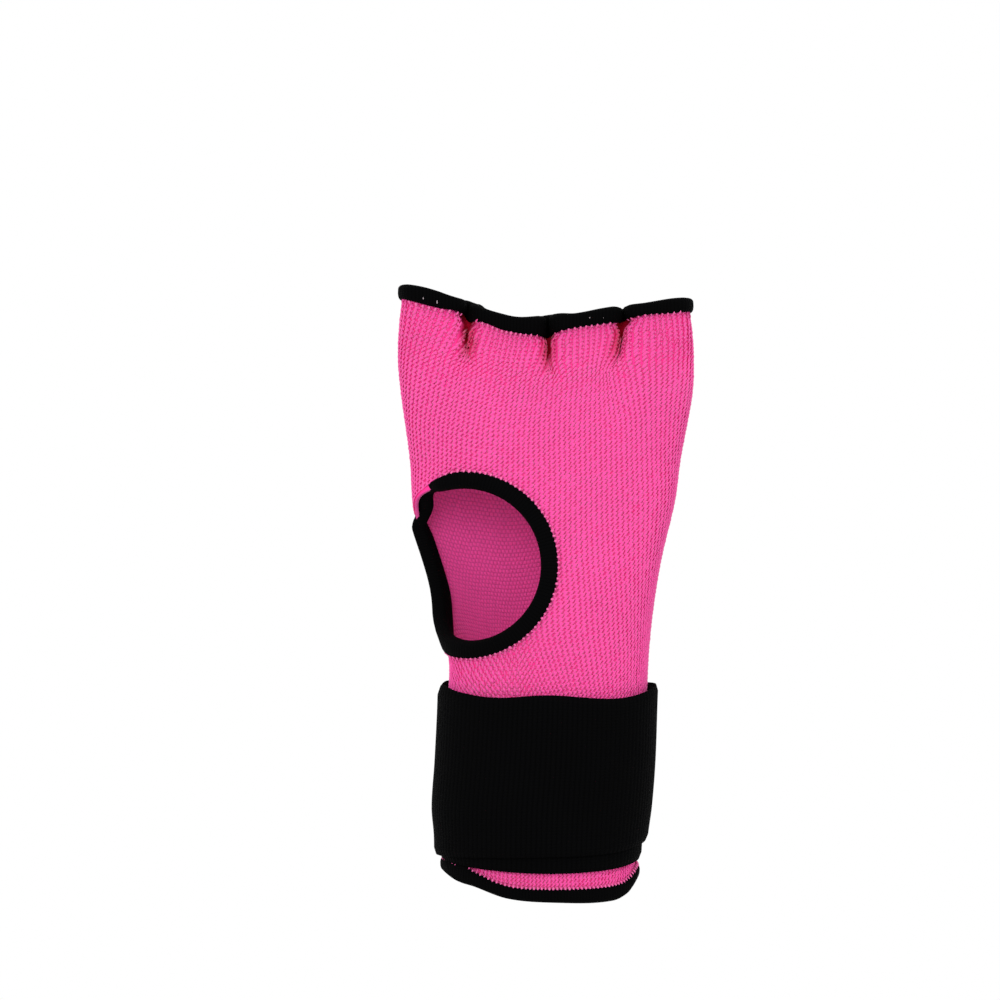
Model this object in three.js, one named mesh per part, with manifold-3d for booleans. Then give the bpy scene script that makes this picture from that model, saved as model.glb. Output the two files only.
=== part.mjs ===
// A fingerless boxing inner glove, the left one of a pair, in its worn shape: finger openings up (+Z), palm side
// towards -Y, thumb side towards -X. The origin is the middle of the wrist opening, level with the hem's lowest
// point.
// A knitted tube is the main form. Folded tape binds its finger edge, its thumb hole and its hem. A long
// elastic strap is wound round the wrist, closed by a hook tab on the back. All sizes are millimetres.
import * as THREE from "three";
import { mergeVertices } from "three/addons/utils/BufferGeometryUtils.js";
import Module from "manifold-3d";

const wasm = await Module();
wasm.setup();

// Driving dimensions
const KNIT_WALL = 1.6; // knitted fabric
const TAPE = 1.0; // one layer of binding tape
const GAP = 0.3; // between pieces that touch
const FACET_GAP = 0.45; // over the knit, whose facets and edges aren't quite the curve
const STRAP_WALL = 1.3; // elastic strap
const TAB_WALL = 1.1; // hook tab
const TACK_HALF = 2.35; // from the middle of the glove to the fabric where two fingers' openings are tacked
const VALLEY_RADIUS = 2.5; // round the inside of the fold at a tack
const LOBE_DEPTH = 11.6; // from the middle of the glove to the fabric at a finger's opening
const PINCH_HOLD = 4.6; // how far below the finger edge the openings keep their shape
const PINCH_FADE = 12; // and how far below that the folds run out
const BINDING_LIP = 1.5; // from the knit's edge to the outside of the tape folded over it
const SHOULDER = 0.35; // how far up the lip the tape's face starts to turn over the edge, as a share
const CROWN = 0.55; // how wide the tape is on top of its fold, as a share of its width below
const FINGER_LAP = 2.8; // from the knit's edge to the tape's own, at the fingers
const THUMB_LAP = 3.5; // at the thumb
const CUFF_LAP = 2.2; // at the hem
const HOLE_DEPTH = 3; // how far the thumb's cut reaches to each side of the fabric's middle
const HOLE_RINGS = [0.4, 0.7, 1]; // shares of the thumb hole's size at which that cut follows the surface
const NEARBY = 0.8; // how far away the surface's slope is measured

// Steps of the facets
const STEPS_PER_FINGER = 9;
const STEPS_BETWEEN = 8; // up the sleeve, between the hem and the folds under the finger edge
const THUMB_STEPS = 48;
const STEPS_PER_TURN = 50;
const STRAP_ROWS = 3;

// The fabric's middle surface, a row for each height. left and right are the sides, palm and back the depths,
// and square is how square the section is: 2 is an ellipse.
const SECTIONS = [
  { z: 0, left: -28.0, right: 27.8, palm: 20.5, back: 19.5, square: 2.15 },
  { z: 17, left: -28.0, right: 27.9, palm: 20.0, back: 19.5, square: 2.15 },
  { z: 26, left: -28.7, right: 29.1, palm: 19.8, back: 19.3, square: 2.15 },
  { z: 40, left: -27.8, right: 30.2, palm: 19.5, back: 19.0, square: 2.15 },
  { z: 60, left: -26.9, right: 30.9, palm: 19.0, back: 18.5, square: 2.2 },
  { z: 72, left: -27.1, right: 31.0, palm: 19.6, back: 18.2, square: 2.25 },
  { z: 85, left: -31.6, right: 32.1, palm: 20.6, back: 17.8, square: 2.35 },
  { z: 100, left: -35.6, right: 34.6, palm: 20.8, back: 17.2, square: 2.45 },
  { z: 118, left: -37.8, right: 38.8, palm: 19.4, back: 16.6, square: 2.5 },
  { z: 130, left: -38.5, right: 40.3, palm: 18.2, back: 16.2, square: 2.6 },
  { z: 150, left: -41.2, right: 43.9, palm: 15.8, back: 15.0, square: 2.7 },
  { z: 160, left: -42.1, right: 44.4, palm: 14.4, back: 14.0, square: 2.6 },
  { z: 169, left: -41.8, right: 44.0, palm: 13.0, back: 13.0, square: 2.5 },
  { z: 180, left: -40.6, right: 42.9, palm: 12.0, back: 12.0, square: 2.4 },
];

// Where the palm and the back of the knit are tacked together between the fingers
const TACKS = [-22.5, 1.8, 24.0];

// Height of the knit's own edge at the fingers, across the glove
const FINGER_EDGE = [
  { x: -40.6, z: 180.9 },
  { x: -31, z: 178.6 },
  { x: -22.5, z: 175.6 },
  { x: -9, z: 171.2 },
  { x: 1.8, z: 170.8 },
  { x: 24, z: 174.0 },
  { x: 42.9, z: 176.9 },
];

// Height of the binding's lower edge at the hem, across the palm side; the back runs straight
const HEM = [
  { x: -28, z: 7.2 },
  { x: -24, z: 4.9 },
  { x: -19.5, z: 3.8 },
  { x: -10, z: 0.8 },
  { x: 6, z: 0 },
  { x: 20, z: 0.3 },
  { x: 25, z: 1.8 },
  { x: 27.8, z: 5.2 },
];

// Soft hollows of the palm side. x and z are the middle, wide and tall the reach, deep the depth.
const HOLLOWS = [
  { x: -34, z: 127, wide: 8, tall: 13, deep: 3.0 }, // above the thumb hole's upper corner
  { x: 8, z: 116, wide: 17, tall: 24, deep: 1.3 }, // the middle of the palm side
  { x: 2, z: 66, wide: 15, tall: 8, deep: 0.7 }, // just above the strap
];

// The thumb hole's cut edge in the knit, a half ellipse towards the palm and one towards the thumb side. along
// runs over the surface from the middle of the palm, where x is 0, to the thumb side and round onto the back.
const THUMB = { along: 23, z: 98.8, palmReach: 24.2, backReach: 31.5, tall: 24 };

// The strap, a row for each place on its way round. turn 0 is the thumb side, 0.25 the middle of the palm side.
const STRAP = [
  { turn: -0.06, low: 11.9, top: 56.0 },
  { turn: 0, low: 11.4, top: 56.5 },
  { turn: 0.12, low: 8.9, top: 56.5 },
  { turn: 0.25, low: 8.3, top: 56.5 },
  { turn: 0.38, low: 8.9, top: 57.0 },
  { turn: 0.5, low: 11.0, top: 58.5 },
  { turn: 0.75, low: 11.5, top: 60.0 },
  { turn: 1, low: 12.0, top: 61.2 },
  { turn: 1.12, low: 12.6, top: 60.1 },
  { turn: 1.25, low: 13.2, top: 60.7 },
  { turn: 1.38, low: 14.0, top: 59.6 },
  { turn: 1.5, low: 16.4, top: 62.2 },
  { turn: 1.66, low: 15.0, top: 62.0 },
];
const STRAP_CLIMB = { from: 0.86, to: 0.94 }; // where it rises over its sewn end
const TAB = { from: 1.6, to: 1.86, low: 18.5, top: 58.5 }; // hook tab
const TAB_DROP = { from: 1.68, to: 1.74 }; // where it comes down past that end

// Smooth value of one column of a table at a place given by another, flat beyond both ends
function column(rows, key, at, name) {
  const last = rows.length - 1;
  if (at <= rows[0][key]) return rows[0][name];
  if (at >= rows[last][key]) return rows[last][name];
  const i = rows.findIndex((row) => row[key] > at) - 1;
  const slope = (k) => {
    const a = rows[Math.max(k - 1, 0)];
    const b = rows[Math.min(k + 1, last)];
    return (b[name] - a[name]) / (b[key] - a[key]);
  };
  const span = rows[i + 1][key] - rows[i][key];
  const s = (at - rows[i][key]) / span;
  const h00 = (1 + 2 * s) * (1 - s) ** 2;
  const h10 = s * (1 - s) ** 2;
  const h01 = s * s * (3 - 2 * s);
  const h11 = s * s * (s - 1);
  return h00 * rows[i][name] + h10 * span * slope(i) + h01 * rows[i + 1][name] + h11 * span * slope(i + 1);
}

const section = (z, name) => column(SECTIONS, "z", z, name);
const smoothstep = (x, from, to) => THREE.MathUtils.smoothstep(x, from, to);

// The outline at the finger edge: x across, out from the middle, over one finger between two tacks or from a
// side to a tack. It is a half ellipse with a rounded fold at each tack.
function fingerOutline(from, to, steps) {
  const openLeft = from !== TOP_LEFT;
  const openRight = to !== TOP_RIGHT;
  const middle = (from + to) / 2;
  const foot = TACK_HALF + VALLEY_RADIUS;
  const path = [];
  const arc = (cx, cy, rx, ry, start, end, count) => {
    for (let k = 0; k < count; k++) {
      const angle = start + ((end - start) * k) / count;
      path.push([cx + rx * Math.cos(angle), cy + ry * Math.sin(angle)]);
    }
  };
  const half = (to - from) / 2;
  const quarter = Math.PI / 2;
  if (openLeft) {
    arc(from, foot, VALLEY_RADIUS, VALLEY_RADIUS, -quarter, 0, 12);
    arc(middle, foot, half - VALLEY_RADIUS, LOBE_DEPTH - foot, Math.PI, quarter, 24);
  } else {
    arc(middle, 0, half, LOBE_DEPTH, Math.PI, quarter, 24);
  }
  if (openRight) {
    arc(middle, foot, half - VALLEY_RADIUS, LOBE_DEPTH - foot, quarter, 0, 24);
    arc(to, foot, VALLEY_RADIUS, VALLEY_RADIUS, Math.PI, Math.PI + quarter, 12);
    path.push([to, TACK_HALF]);
  } else {
    arc(middle, 0, half, LOBE_DEPTH, quarter, 0, 24);
    path.push([to, 0]);
  }
  return resampled(path, steps);
}

// The same path with that many equal steps
function resampled(path, steps) {
  const along = [0];
  for (let k = 1; k < path.length; k++) {
    along.push(along[k - 1] + Math.hypot(path[k][0] - path[k - 1][0], path[k][1] - path[k - 1][1]));
  }
  const made = [];
  for (let n = 0; n <= steps; n++) {
    const at = (along.at(-1) * n) / steps;
    const k = Math.min(Math.max(along.findIndex((a) => a >= at), 1), path.length - 1);
    const s = (at - along[k - 1]) / (along[k] - along[k - 1]);
    made.push([0, 1].map((c) => path[k - 1][c] + s * (path[k][c] - path[k - 1][c])));
  }
  return made;
}

const TOP = SECTIONS.at(-1);
const TOP_LEFT = TOP.left;
const TOP_RIGHT = TOP.right;

// Stations round the glove, anticlockwise from above, from the right side over the back and then the palm.
// Each holds its side (+1 back, -1 palm), its place across at the top as share of the width, and its lobe.
function stations() {
  const edges = [TOP_LEFT, ...TACKS, TOP_RIGHT];
  const palm = [];
  for (let finger = 0; finger < edges.length - 1; finger++) {
    palm.push(...fingerOutline(edges[finger], edges[finger + 1], STEPS_PER_FINGER).slice(0, -1));
  }
  palm.push([TOP_RIGHT, 0]);
  const middle = (TOP_LEFT + TOP_RIGHT) / 2;
  const half = (TOP_RIGHT - TOP_LEFT) / 2;
  const share = (x) => THREE.MathUtils.clamp((x - middle) / half, -1, 1);
  const back = palm.slice().reverse().slice(0, -1);
  return [
    ...back.map(([x, out]) => ({ side: 1, x, out, share: share(x) })),
    ...palm.slice(0, -1).map(([x, out]) => ({ side: -1, x, out, share: share(x) })),
  ];
}

// The fabric's middle at a share of the width, on a side, at a height. lobe is the outline's depth at the
// finger edge there, and below how far under that edge the point is.
function fabric(side, share, z, lobe, below) {
  const left = section(z, "left");
  const right = section(z, "right");
  const x = (left + right) / 2 + (share * (right - left)) / 2;
  const square = section(z, "square");
  const depth = side > 0 ? section(z, "back") : section(z, "palm");
  let out = depth * Math.max(0, 1 - Math.abs(share) ** square) ** (1 / square);
  if (side < 0) {
    const rim = out / depth; // a hollow fades where the section turns round to the side
    for (const h of HOLLOWS) {
      out -= rim * h.deep * Math.exp(-(((x - h.x) / h.wide) ** 2) - ((z - h.z) / h.tall) ** 2);
    }
  }
  const plain = smoothstep(below, PINCH_HOLD, PINCH_HOLD + PINCH_FADE);
  return new THREE.Vector3(x, side * THREE.MathUtils.lerp(lobe, out, plain), z);
}

// Heights of the knit's two edges at a station
const fingerEdge = (s) => column(FINGER_EDGE, "x", s.x, "z");
function hemEdge(s) {
  const x = fabric(s.side, s.share, 0, 0, Infinity).x;
  const palm = column(HEM, "x", x, "z");
  const back = THREE.MathUtils.lerp(HEM[0].z, HEM.at(-1).z, (s.share + 1) / 2);
  return BINDING_LIP + (s.side < 0 ? palm : back);
}

// Rings of the sleeve: distances under the finger edge, shares of the way between, distances over the hem
const UNDER_EDGE = [0, 4.6, 8.2, 12, 16.6];
const OVER_HEM = [0, 5];

function ringHeights(s) {
  const top = fingerEdge(s);
  const bottom = hemEdge(s);
  const from = bottom + OVER_HEM.at(-1);
  const to = top - UNDER_EDGE.at(-1);
  const between = [];
  for (let k = 1; k < STEPS_BETWEEN; k++) between.push(THREE.MathUtils.lerp(from, to, k / STEPS_BETWEEN));
  return [...OVER_HEM.map((d) => bottom + d), ...between, ...UNDER_EDGE.toReversed().map((d) => top - d)];
}

// A closed mesh from a grid of points whose rows are rings. Rows join to the next, the last to the first if
// round is set and else both are capped by strips across the ring.
function gridGeometry(rows, round) {
  const count = rows[0].length;
  const points = rows.flat();
  const faces = [];
  const last = round ? rows.length : rows.length - 1;
  for (let r = 0; r < last; r++) {
    for (let c = 0; c < count; c++) {
      const a = r * count + c;
      const b = r * count + ((c + 1) % count);
      const d = ((r + 1) % rows.length) * count + c;
      const e = ((r + 1) % rows.length) * count + ((c + 1) % count);
      faces.push(a, b, e, a, e, d);
    }
  }
  if (!round) {
    for (const [row, turned] of [[0, true], [rows.length - 1, false]]) {
      for (let c = 1; c < count / 2; c++) {
        const a = row * count + c - 1;
        const b = row * count + c;
        const d = row * count + count - c;
        const e = row * count + count - 1 - c;
        faces.push(...(turned ? [a, d, b, b, d, e] : [a, b, d, b, e, d]));
      }
    }
  }
  const flat = points.flatMap((p) => [p.x, p.y, p.z]);
  const geometry = new THREE.BufferGeometry();
  geometry.setAttribute("position", new THREE.Float32BufferAttribute(flat, 3));
  geometry.setIndex(faces);
  return outwards(geometry);
}

// The geometry with its faces pointing out
function outwards(geometry) {
  const p = geometry.getAttribute("position");
  const i = geometry.index;
  const [a, b, c] = [new THREE.Vector3(), new THREE.Vector3(), new THREE.Vector3()];
  let volume = 0;
  for (let k = 0; k < i.count; k += 3) {
    a.fromBufferAttribute(p, i.getX(k));
    b.fromBufferAttribute(p, i.getX(k + 1));
    c.fromBufferAttribute(p, i.getX(k + 2));
    volume += a.dot(b.cross(c));
  }
  if (volume < 0) {
    for (let k = 0; k < i.count; k += 3) {
      const second = i.getX(k + 1);
      i.setX(k + 1, i.getX(k + 2));
      i.setX(k + 2, second);
    }
  }
  return geometry;
}

function solid(geometry) {
  const bare = geometry.clone();
  bare.deleteAttribute("normal");
  bare.deleteAttribute("uv");
  const merged = mergeVertices(bare);
  return new wasm.Manifold(
    new wasm.Mesh({
      numProp: 3,
      vertProperties: merged.getAttribute("position").array,
      triVerts: new Uint32Array(merged.index.array),
    }),
  );
}

function geometryOf(manifold) {
  const mesh = manifold.getMesh();
  const geometry = new THREE.BufferGeometry();
  geometry.setAttribute("position", new THREE.BufferAttribute(mesh.vertProperties, 3));
  geometry.setIndex(new THREE.BufferAttribute(mesh.triVerts, 1));
  return geometry;
}

// Outward normal of a ring of points that lies about level, at each point
function levelNormals(ring) {
  return ring.map((p, k) => {
    const next = ring[(k + 1) % ring.length];
    const before = ring[(k + ring.length - 1) % ring.length];
    return new THREE.Vector3(next.y - before.y, before.x - next.x, 0).normalize();
  });
}

const moved = (p, n, by) => p.clone().addScaledVector(n, by);

const around = stations();
const THUMB_SIDE = around.findIndex((s) => s.side < 0);
const heights = around.map(ringHeights);
const rings = heights[0].map((_, r) =>
  around.map((s, k) => fabric(s.side, s.share, heights[k][r], s.out, fingerEdge(s) - heights[k][r])),
);
const ringNormals = rings.map(levelNormals);

// The knitted tube before the thumb hole is cut: outer wall up, inner wall down
function tube() {
  const outer = rings.map((ring, r) => ring.map((p, k) => moved(p, ringNormals[r][k], KNIT_WALL / 2)));
  const inner = rings.map((ring, r) => ring.map((p, k) => moved(p, ringNormals[r][k], -KNIT_WALL / 2)));
  return gridGeometry([...outer, ...inner.reverse()], true);
}

// The fabric's middle at a station and a height
function atStation(k, z) {
  const r = THREE.MathUtils.clamp(rings.findIndex((ring) => ring[k].z > z), 1, rings.length - 1);
  const low = rings[r - 1][k];
  const high = rings[r][k];
  return low.clone().lerp(high, (z - low.z) / (high.z - low.z));
}

// A point of the fabric's middle at a distance over the surface from the palm's middle, where x is 0, and a
// height. The distance is positive towards the thumb side.
function onSurface(along, z) {
  let k = THUMB_SIDE;
  while (atStation(k, z).x < 0) k++;
  const [near, far] = [atStation(k - 1, z), atStation(k, z)];
  let before = near.clone().lerp(far, near.x / (near.x - far.x));
  let gone = 0;
  const turn = along < 0 ? 1 : -1;
  for (k -= along < 0 ? 0 : 1; k > 0 && k < around.length; k += turn) {
    const p = atStation(k, z);
    const step = p.distanceTo(before);
    if (gone + step >= Math.abs(along)) return before.lerp(p, (Math.abs(along) - gone) / step);
    gone += step;
    before = p;
  }
  throw new Error("the thumb hole runs off the fabric");
}

function surfaceNormal(along, z) {
  const across = onSurface(along - NEARBY, z).sub(onSurface(along + NEARBY, z));
  const up = onSurface(along, z + NEARBY).sub(onSurface(along, z - NEARBY));
  return across.cross(up).normalize();
}

// The thumb hole's edge at an angle, grown or shrunk by a share
function thumbPlace(angle, share) {
  const c = Math.cos(angle);
  const reach = c < 0 ? THUMB.palmReach : THUMB.backReach;
  return [THUMB.along + share * reach * c, THUMB.z + share * THUMB.tall * Math.sin(angle)];
}

const thumbAngles = Array.from({ length: THUMB_STEPS }, (_, k) => (k / THUMB_STEPS) * Math.PI * 2);

// What is cut out of the tube for the thumb: a thick skin of the surface inside the hole's edge
function thumbPlug() {
  const layer = (share, depth) =>
    thumbAngles.map((angle) => {
      const [along, z] = thumbPlace(angle, share);
      return moved(onSurface(along, z), surfaceNormal(along, z), depth);
    });
  const outside = HOLE_RINGS.map((share) => layer(share, HOLE_DEPTH));
  const inside = HOLE_RINGS.toReversed().map((share) => layer(share, -HOLE_DEPTH));
  return gridGeometry([...outside, ...inside], false);
}

// A folded tape's section: out is away from the fabric's middle, up towards the free edge at up = 0
function tapeSection(lap) {
  const slot = KNIT_WALL / 2 + FACET_GAP;
  const face = slot + TAPE;
  const shoulder = BINDING_LIP * SHOULDER;
  return [
    { out: -face, up: -lap },
    { out: -face, up: shoulder },
    { out: -face * CROWN, up: BINDING_LIP },
    { out: face * CROWN, up: BINDING_LIP },
    { out: face, up: shoulder },
    { out: face, up: -lap },
    { out: slot, up: -lap },
    { out: slot, up: GAP },
    { out: -slot, up: GAP },
    { out: -slot, up: -lap },
  ];
}

// Tape folded over an edge. Each step gives the fabric's middle and normal at a height over the edge.
function binding(steps, lap) {
  return gridGeometry(
    steps.map((fabricAt) =>
      tapeSection(lap).map((q) => {
        const { place, normal } = fabricAt(q.up);
        return moved(place, normal, q.out);
      }),
    ),
    true,
  );
}

const UP = new THREE.Vector3(0, 0, 1);

const straightSteps = (r, direction) =>
  rings.at(r).map((place, k) => (up) => ({
    place: moved(place, UP, direction * up),
    normal: ringNormals.at(r)[k],
  }));

// Round the thumb hole, up is square to the hole's edge and towards its middle
const thumbSteps = () =>
  thumbAngles.map((angle) => (up) => {
    const A_LITTLE = 0.01;
    const [along, z] = thumbPlace(angle, 1);
    const [aheadAlong, aheadZ] = thumbPlace(angle + A_LITTLE, 1);
    const length = Math.hypot(aheadAlong - along, aheadZ - z);
    const from = [along - (up * (aheadZ - z)) / length, z + (up * (aheadAlong - along)) / length];
    return { place: onSurface(...from), normal: surfaceNormal(...from) };
  });

// The level outline at a height, from the thumb side over the palm, the little finger's side and the back
function outline(z) {
  const points = around.map((_, k) => atStation((THUMB_SIDE + k) % around.length, z));
  const along = [0];
  points.forEach((p, k) => along.push(along[k] + p.distanceTo(points[(k + 1) % points.length])));
  return { points, along };
}

// A place on an outline at a turn, moved out from the fabric's middle
function wrapped({ points, along }, turn, out) {
  const at = (turn - Math.floor(turn)) * along.at(-1);
  const k = Math.max(along.findIndex((a) => a > at), 1) - 1;
  const a = points[k];
  const b = points[(k + 1) % points.length];
  const place = a.clone().lerp(b, (at - along[k]) / (along[k + 1] - along[k]));
  const before = points[(k + points.length - 1) % points.length];
  const after = points[(k + 2) % points.length];
  const normal = new THREE.Vector3(after.y - before.y, before.x - after.x, 0).normalize();
  return moved(place, normal, out);
}

// A band wound round the wrist, a station for each turn: out is its inner face, and low and top its edges
function band(turns, outAt, lowAt, topAt, wall) {
  const sections = turns.map((turn) => {
    const inner = [];
    const outer = [];
    for (let r = 0; r <= STRAP_ROWS; r++) {
      const ring = outline(THREE.MathUtils.lerp(lowAt(turn), topAt(turn), r / STRAP_ROWS));
      inner.push(wrapped(ring, turn, outAt(turn)));
      outer.push(wrapped(ring, turn, outAt(turn) + wall));
    }
    return [...outer, ...inner.reverse()];
  });
  return gridGeometry(sections, false);
}

function turnsFrom(from, to, perTurn) {
  const count = Math.round((to - from) * perTurn);
  return Array.from({ length: count + 1 }, (_, k) => from + ((to - from) * k) / count);
}

const FIRST_LAYER = KNIT_WALL / 2 + FACET_GAP;
const SECOND_LAYER = FIRST_LAYER + STRAP_WALL + GAP;
const THIRD_LAYER = SECOND_LAYER + STRAP_WALL + GAP;

function strap() {
  const value = (name) => (turn) => column(STRAP, "turn", turn, name);
  const climb = (turn) => smoothstep(turn, STRAP_CLIMB.from, STRAP_CLIMB.to);
  const out = (turn) => THREE.MathUtils.lerp(FIRST_LAYER, SECOND_LAYER, climb(turn));
  const turns = turnsFrom(STRAP[0].turn, STRAP.at(-1).turn, STEPS_PER_TURN);
  return band(turns, out, value("low"), value("top"), STRAP_WALL);
}

function tab() {
  const drop = (turn) => smoothstep(turn, TAB_DROP.from, TAB_DROP.to);
  const out = (turn) => THREE.MathUtils.lerp(THIRD_LAYER, SECOND_LAYER, drop(turn));
  return band(turnsFrom(TAB.from, TAB.to, STEPS_PER_TURN), out, () => TAB.low, () => TAB.top, TAB_WALL);
}

const knit = new THREE.MeshStandardMaterial({ color: 0xf0459a, roughness: 0.9, metalness: 0 });
const tape = new THREE.MeshStandardMaterial({ color: 0x0b0b0c, roughness: 0.85, metalness: 0 });
const elastic = new THREE.MeshStandardMaterial({ color: 0x0a0a0b, roughness: 0.8, metalness: 0 });
const hook = new THREE.MeshStandardMaterial({ color: 0x101011, roughness: 0.7, metalness: 0 });

const glove = new THREE.Group();
function piece(name, geometry, material) {
  const mesh = new THREE.Mesh(geometry, material);
  mesh.name = name;
  glove.add(mesh);
}

piece("knit_sleeve", geometryOf(solid(tube()).subtract(solid(thumbPlug()))), knit);
piece("finger_binding", binding(straightSteps(-1, 1), FINGER_LAP), tape);
piece("thumb_binding", binding(thumbSteps(), THUMB_LAP), tape);
piece("cuff_binding", binding(straightSteps(0, -1), CUFF_LAP), tape);
piece("wrist_strap", strap(), elastic);
piece("closure_tab", tab(), hook);

export default glove;
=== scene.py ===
# A fingerless boxing inner glove, the left one of a pair, in its worn form: finger openings up, palm side
# towards the camera, thumb side to the left. Its origin is the middle of the wrist opening. Its shape is
# worked out in millimetres, and the meshes are made in metres.
import math

import bmesh
import bpy
import numpy as np
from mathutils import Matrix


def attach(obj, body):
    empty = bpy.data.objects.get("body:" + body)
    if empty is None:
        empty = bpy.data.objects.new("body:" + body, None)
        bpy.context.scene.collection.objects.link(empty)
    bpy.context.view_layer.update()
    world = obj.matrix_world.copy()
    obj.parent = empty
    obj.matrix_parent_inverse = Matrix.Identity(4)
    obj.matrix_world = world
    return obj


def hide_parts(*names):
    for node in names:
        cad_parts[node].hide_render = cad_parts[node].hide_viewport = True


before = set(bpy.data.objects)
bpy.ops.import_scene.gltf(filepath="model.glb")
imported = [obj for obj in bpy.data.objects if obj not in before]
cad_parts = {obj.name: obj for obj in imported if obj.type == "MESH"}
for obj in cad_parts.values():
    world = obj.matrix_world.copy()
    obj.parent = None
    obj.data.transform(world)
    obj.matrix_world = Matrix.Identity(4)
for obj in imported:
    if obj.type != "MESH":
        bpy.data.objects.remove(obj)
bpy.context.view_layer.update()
scene = bpy.context.scene
scene.view_settings.view_transform = "Standard"

# The sleeve's shape. The glove is one tube of fine stretch knit, 130 wales round and 134 courses high, drawn
# out to its worn form. It is tacked shut between the finger openings. What is sewn to it or wound round it
# follows this shape.

MM = 0.001
WALES = 130
HALF_ROUND = WALES / 2
COURSES = 134
COURSE_RISE = 3.4  # how much higher the courses run at the little finger's side, half way up
TACK_HALF = 2.35  # from the middle of the glove to the fabric at a tack
VALLEY_RADIUS = 2.5  # round the inside of the fold at a tack
LOBE_DEPTH = 11.6  # from the middle of the glove to the fabric at a finger's opening
LOBE_SQUARE = 3.2  # how square a finger's opening is: 2 is an ellipse
PINCH_HOLD = 6.5  # how far below the finger edge the openings keep their shape
PINCH_FADE = 12.5  # how far below that the folds run out
FOLD_CLOSING = 0.93  # how far the walls of a fold are drawn together under the binding, as a share
FOLD_REACH = 4.2  # and how far from the tack they still are
# The next four, and MOUTH_ASIDE to LINE_BELOW, place the shade that is painted into the folds at the tacks:
# a dark crimson mixed into the knit's colour.
FOLD_LIT = 9.6  # from the middle of the glove to where a fold begins to lie in the dark
FOLD_DARK = 4.6  # and to where it is darkest
FOLD_LINE_SHADE = 0.7  # how dark the line is where a fold's walls meet, below its open mouth
FOLD_LINE_REACH = (1.0, 3.8)  # from its middle to where it begins to fade and to where it ends
BINDING_LIP = 1.5  # from the knit's edge to the outside of the tape folded over it
DEPTH_STRETCH = 0.35  # how closely the wales lie on the walls of a fold, where the knit is stretched more
SIDE_STRETCH = 0.5  # and on the outer sides of the first and the last opening
FAN = 16.0  # how far below the finger edge the wales still fan out to the finger openings
FAN_SHARPNESS = 1.3
FAN_ENDS = (20, 44)
WALLS_MEET = (3.2, 6.5)  # below the finger edge, the walls of a fold come together
WALLS_PART = (11, 19)  # and part again
SLANT_FROM = 3  # how far below the finger edge a fold begins to run aside
SLANT_FOR = 14
SLANT_FADE = (14, 34)
SLANT_REACH = 7  # how far from the tack the fabric runs aside with it
MOUTH_ASIDE = (3.5, 5.5)  # how far from a tack the dark of an open fold fades
MOUTH_BELOW = (15, 22)
LINE_BELOW = ((2.5, 5), (9, 17))  # how far below the finger edge the line of a fold sets in and fades

# height, thumb side, little finger's side, palm depth, back depth, squareness (2 is an ellipse)
section_rows = np.array([
    (0, -28.0, 27.0, 20.5, 19.5, 2.15),
    (17, -28.0, 27.9, 20.0, 19.5, 2.15),
    (26, -28.7, 29.1, 19.8, 19.3, 2.15),
    (40, -27.8, 30.2, 19.5, 19.0, 2.15),
    (60, -26.9, 30.9, 19.0, 18.5, 2.2),
    (72, -27.1, 31.5, 19.6, 18.2, 2.25),
    (85, -31.6, 32.8, 20.6, 17.8, 2.35),
    (100, -35.6, 35.2, 20.8, 17.2, 2.45),
    (118, -37.8, 39.4, 19.4, 16.6, 2.5),
    (130, -38.5, 41.0, 18.2, 16.2, 2.6),
    (150, -41.2, 44.6, 15.8, 15.0, 2.7),
    (160, -42.1, 45.0, 14.4, 14.0, 2.6),
    (169, -41.8, 44.4, 13.0, 13.0, 2.5),
    (180, -40.6, 42.9, 12.0, 12.0, 2.4),
])
# across, height of the knit's own edge at the finger openings
finger_edge_rows = np.array(
    [(-40.6, 180.9), (-31, 178.6), (-22.5, 175.6), (-9, 171.2), (1.8, 170.8), (24, 174.0), (42.9, 176.9)]
)
# across, height of the binding's lower edge at the hem, on the palm side
hem_rows = np.array(
    [(-28, 7.2), (-24, 4.9), (-19.5, 3.8), (-10, 0.8), (6, 0), (20, 0.3), (24.3, 1.8), (27, 5.2)]
)
# across, height, half width, half height and depth of the palm's soft hollows
hollow_rows = ((-34, 127, 8, 13, 3.0), (8, 116, 17, 24, 1.3), (2, 66, 15, 8, 0.7))
finger_bounds = np.array([-40.6, -21.7, 1.8, 24.0, 42.9])
fold_slants = (0.0, 0.0, -0.25)  # how far across a fold runs for each step down
wales_before_bounds = np.array([0, 13, 33.7, 49.6, 65])
# height, then how many wales the fabric is pulled round at the wales below
drift_wales = np.array([0, 13, 24, 33.7, 49.6, 65, 97.5, 130])
drift_rows = np.array([
    (50, 3.0, 4.0, 4.5, 4.0, 4.2, 3.0, 0.0, 3.0),
    (60, -2.0, -1.0, 1.7, 2.3, 4.0, 3.0, 0.0, -2.0),
    (66, -6.5, -6.0, -1.4, 0.6, 3.7, 3.0, 0.0, -6.5),
    (76, -9.5, -9.5, -4.6, -1.3, 3.1, 2.8, 0.0, -9.5),
    (88, -7.5, -8.0, -4.0, -0.9, 2.2, 2.5, 0.0, -7.5),
    (100, -5.0, -5.5, -3.0, -1.0, 1.0, 2.0, 0.3, -5.0),
    (118, -2.8, -3.4, -2.6, -1.7, -1.0, 0.2, 0.5, -2.8),
    (136, -2.2, -2.3, -2.2, -2.2, -2.1, -1.8, 0.5, -2.2),
    (150, -1.0, -0.8, -1.4, -1.8, -2.5, -2.2, 0.3, -1.0),
    (176, 0.0, 0.0, 0.0, 0.0, 0.0, 0.0, 0.0, 0.0),
])


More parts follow.
